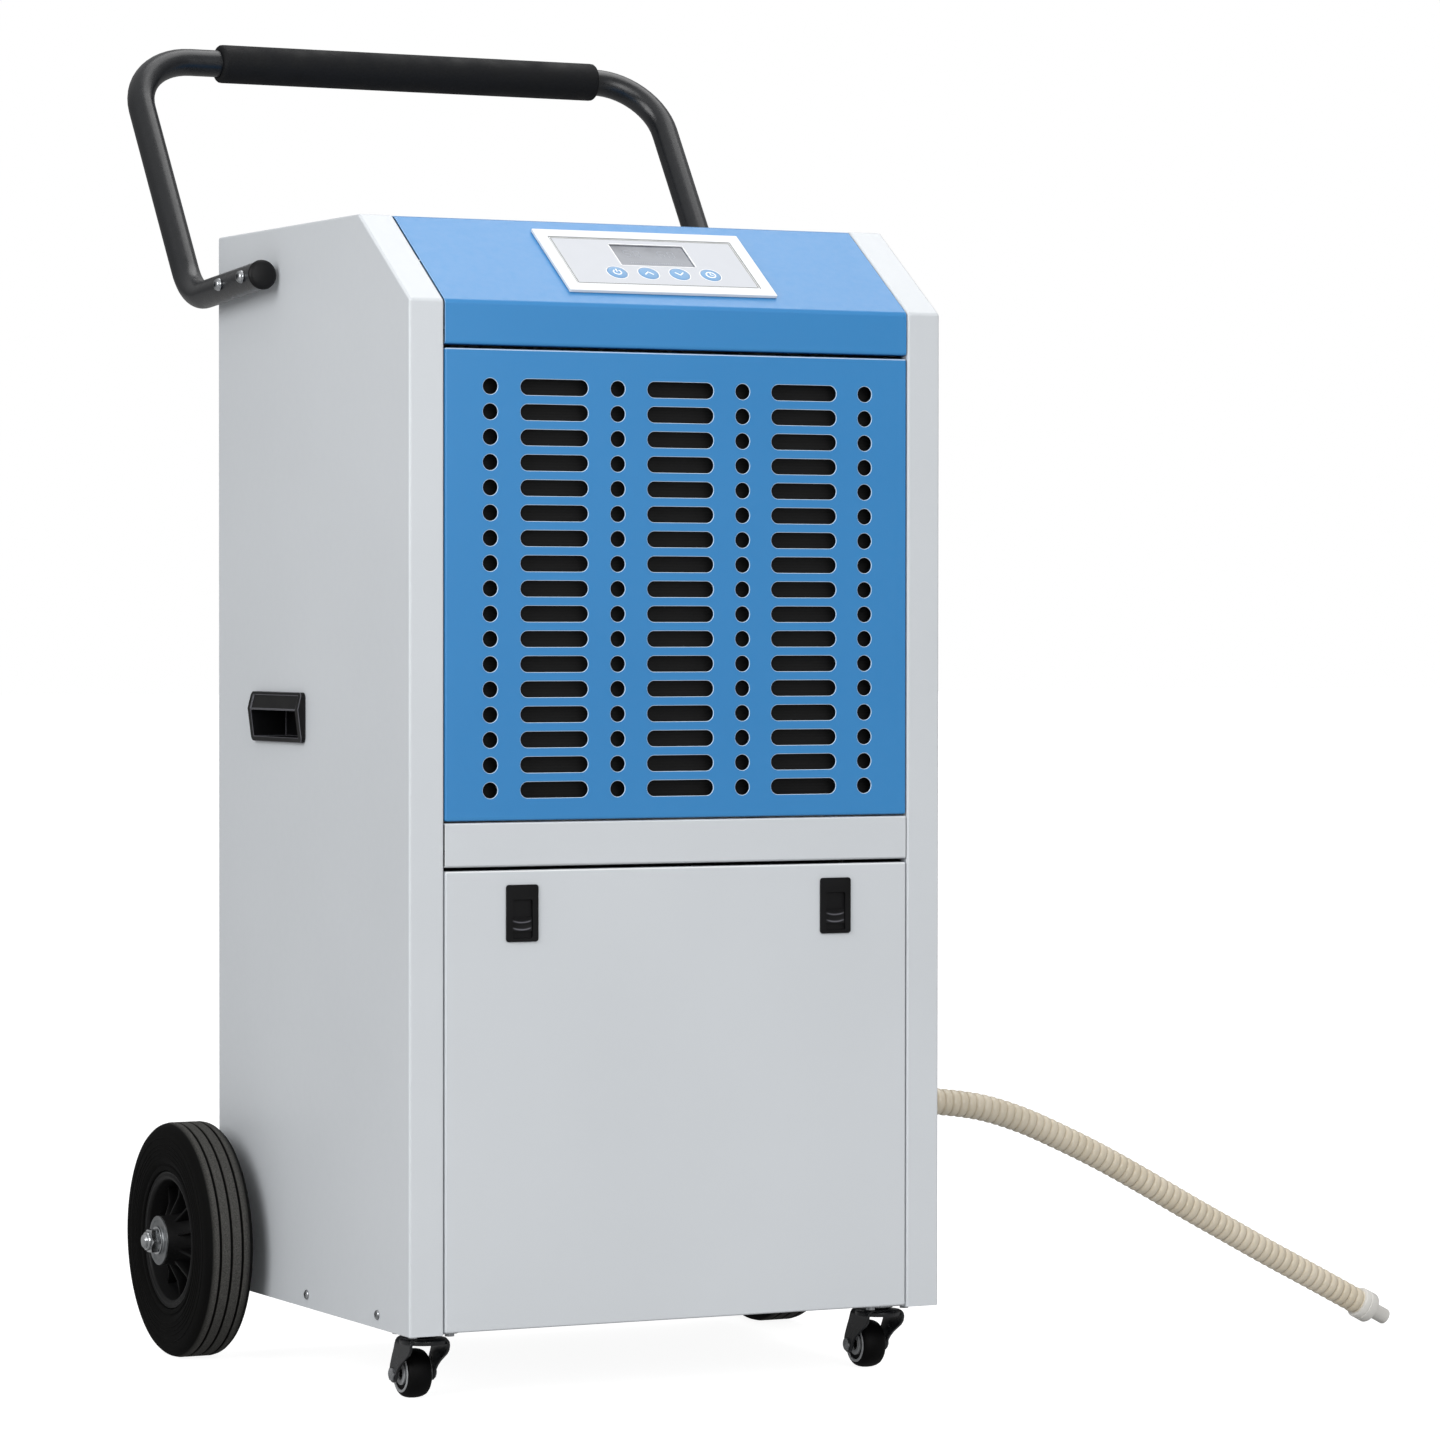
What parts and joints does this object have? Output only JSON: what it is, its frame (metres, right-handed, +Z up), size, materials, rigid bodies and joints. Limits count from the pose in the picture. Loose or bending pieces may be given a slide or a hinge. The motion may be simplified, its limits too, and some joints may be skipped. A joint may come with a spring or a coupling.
{
  "type": "commercial dehumidifier",
  "caption": "Upright sheet-metal dehumidifier on two rear wheels and front swivel casters, with push handle, lower service door and drain hose.",
  "frame": {"origin": "on the floor, under the middle of the machine's outline without the hose", "axes": "+X to the right as seen from the front, where the hose comes out; +Y from the front towards the back; +Z up"},
  "size_m": [1.0803, 0.6056, 1.1428],
  "materials": {
    "white_steel": "pale grey powder coat, fine texture",
    "blue_steel": "mid blue powder coat, fine texture",
    "grey_steel": "galvanised sheet",
    "zinc": "bright zinc plating",
    "black_plastic": "moulded, fine grain",
    "black_steel": "satin black powder coat",
    "foam": "closed-cell foam sleeve",
    "tyre": "solid rubber",
    "rubber": "matt",
    "plate": "printed control film",
    "display": "tinted display window",
    "button": "light blue keys",
    "board": "circuit board",
    "fins": "finned coil",
    "copper": "drawn copper pipe",
    "white_plastic": "moulded",
    "hose": "cream corrugated hose"
  },
  "bodies": {
    "cabinet": {"base_pan": "grey_steel", "left_side_panel": "white_steel", "right_side_panel": "white_steel", "back_panel": "white_steel", "top_cover": "blue_steel", "grille_panel": "blue_steel", "crossbar": "white_steel", "air_filter": "black_plastic", "control_plate": "plate", "display_window": "display", "control_board": "board", "handle_tube": "black_steel", "foam_grip": "foam", "left_handle_cap": "black_plastic", "right_handle_cap": "black_plastic", "left_front_handle_bolt": "zinc", "left_rear_handle_bolt": "zinc", "right_front_handle_bolt": "zinc", "right_rear_handle_bolt": "zinc", "wheel_axle": "zinc", "left_axle_washer": "zinc", "right_axle_washer": "zinc", "left_axle_nut": "zinc", "right_axle_nut": "zinc", "divider_shelf": "grey_steel", "evaporator": "fins", "condenser": "fins", "drip_tray": "white_plastic", "fan_shroud": "grey_steel", "fan_motor": "black_steel", "compressor": "black_steel", "refrigerant_pipe": "copper", "water_tank": "white_plastic", "cable_gland": "black_plastic", "drain_spout": "black_plastic", "drain_pipe": "hose", "drain_hose": "hose", "hose_end": "white_plastic", "left_grip_cup": "black_plastic", "right_grip_cup": "black_plastic", "left_caster_plate": "zinc", "right_caster_plate": "zinc"},
    "fan": {"fan_blade": "black_plastic"},
    "power_key": {"power_button": "button"},
    "up_key": {"up_button": "button"},
    "down_key": {"down_button": "button"},
    "timer_key": {"timer_button": "button"},
    "door": {"lower_door": "white_steel", "left_latch_housing": "black_plastic", "right_latch_housing": "black_plastic"},
    "left_latch": {"left_latch_slider": "black_plastic"},
    "right_latch": {"right_latch_slider": "black_plastic"},
    "left_wheel": {"left_tyre": "tyre", "left_rim": "black_plastic"},
    "right_wheel": {"right_tyre": "tyre", "right_rim": "black_plastic"},
    "left_fork": {"left_caster_fork": "black_steel"},
    "right_fork": {"right_caster_fork": "black_steel"},
    "left_caster": {"left_caster_wheel": "rubber"},
    "right_caster": {"right_caster_wheel": "rubber"}
  },
  "joints": [
    {"name": "fan_spin", "type": "hinge", "parent": "cabinet", "child": "fan", "pos_m": [0, -0.144, 0.655], "axis": [0, 1, 0], "continuous": true},
    {"name": "power_press", "type": "slide", "parent": "cabinet", "child": "power_key", "axis": [0, 0.5798, -0.8148], "range_m": [0, 0.0006], "stiffness_N_per_m": 1500, "springref_m": -0.0002},
    {"name": "up_press", "type": "slide", "parent": "cabinet", "child": "up_key", "axis": [0, 0.5798, -0.8148], "range_m": [0, 0.0006], "stiffness_N_per_m": 1500, "springref_m": -0.0002},
    {"name": "down_press", "type": "slide", "parent": "cabinet", "child": "down_key", "axis": [0, 0.5798, -0.8148], "range_m": [0, 0.0006], "stiffness_N_per_m": 1500, "springref_m": -0.0002},
    {"name": "timer_press", "type": "slide", "parent": "cabinet", "child": "timer_key", "axis": [0, 0.5798, -0.8148], "range_m": [0, 0.0006], "stiffness_N_per_m": 1500, "springref_m": -0.0002},
    {"name": "door_hinge", "type": "hinge", "parent": "cabinet", "child": "door", "pos_m": [0, -0.2955, 0.064], "axis": [1, 0, 0], "range_deg": [0, 85]},
    {"name": "left_latch_slide", "type": "slide", "parent": "door", "child": "left_latch", "axis": [0, 0, -1], "range_m": [0, 0.005], "stiffness_N_per_m": 200, "springref_m": -0.002},
    {"name": "right_latch_slide", "type": "slide", "parent": "door", "child": "right_latch", "axis": [0, 0, -1], "range_m": [0, 0.005], "stiffness_N_per_m": 200, "springref_m": -0.002},
    {"name": "left_wheel_spin", "type": "hinge", "parent": "cabinet", "child": "left_wheel", "pos_m": [-0.278, 0.086, 0.1], "axis": [1, 0, 0], "continuous": true},
    {"name": "right_wheel_spin", "type": "hinge", "parent": "cabinet", "child": "right_wheel", "pos_m": [0.278, 0.086, 0.1], "axis": [1, 0, 0], "continuous": true},
    {"name": "left_caster_swivel", "type": "hinge", "parent": "cabinet", "child": "left_fork", "pos_m": [-0.208, -0.254, 0.05], "axis": [0, 0, 1], "continuous": true},
    {"name": "right_caster_swivel", "type": "hinge", "parent": "cabinet", "child": "right_fork", "pos_m": [0.208, -0.254, 0.05], "axis": [0, 0, 1], "continuous": true},
    {"name": "left_caster_spin", "type": "hinge", "parent": "left_fork", "child": "left_caster", "pos_m": [-0.208, -0.232, 0.02], "axis": [1, 0, 0], "continuous": true},
    {"name": "right_caster_spin", "type": "hinge", "parent": "right_fork", "child": "right_caster", "pos_m": [0.208, -0.232, 0.02], "axis": [1, 0, 0], "continuous": true}
  ]
}
